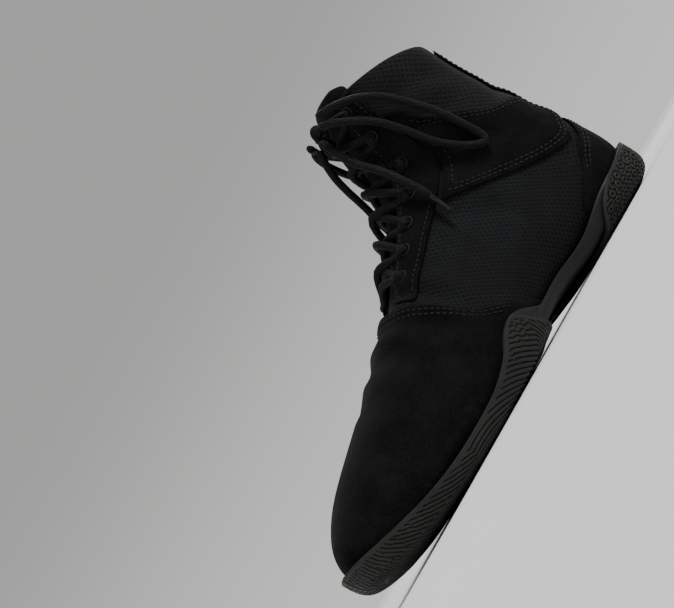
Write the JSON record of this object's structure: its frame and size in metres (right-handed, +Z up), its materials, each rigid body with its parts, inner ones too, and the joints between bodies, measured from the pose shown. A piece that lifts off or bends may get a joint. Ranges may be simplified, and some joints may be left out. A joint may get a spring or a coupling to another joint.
{
  "type": "wrestling shoe",
  "caption": "Right high-top wrestling shoe with a laced suede and mesh upper and a thin split rubber outsole, empty and standing on its sole.",
  "frame": {"origin": "on the floor under the middle of the heel, in the plane that heel and forefoot rest on", "axes": "+Z up, -Y from heel to toe, +X to the medial side, which is the inner side of a right shoe"},
  "size_m": [0.0938, 0.2844, 0.165],
  "materials": {
    "suede": "napped suede",
    "knit": "dense knitted mesh",
    "rubber": "moulded, satin",
    "shank_rubber": "smooth, satin",
    "lace": "round braided",
    "foam": "brushed lining on foam"
  },
  "bodies": {
    "root": {"upper": "knit", "vamp": "suede", "eyestay_medial": "suede", "eyestay_lateral": "suede", "ankle_band_medial": "suede", "ankle_band_lateral": "suede", "heel_counter": "suede", "back_strip": "suede", "insole": "foam", "tongue": "knit", "sole_base": "shank_rubber", "forefoot_outsole": "rubber", "lateral_forefoot_strip": "rubber", "heel_outsole": "rubber", "lateral_heel_panel": "rubber", "shank_plaque": "rubber", "lace_crossings": "lace", "lace_knot": "lace", "lace_loop_medial": "lace", "lace_loop_lateral": "lace", "lace_end_medial": "lace", "lace_end_lateral": "lace"}
  },
  "joints": []
}
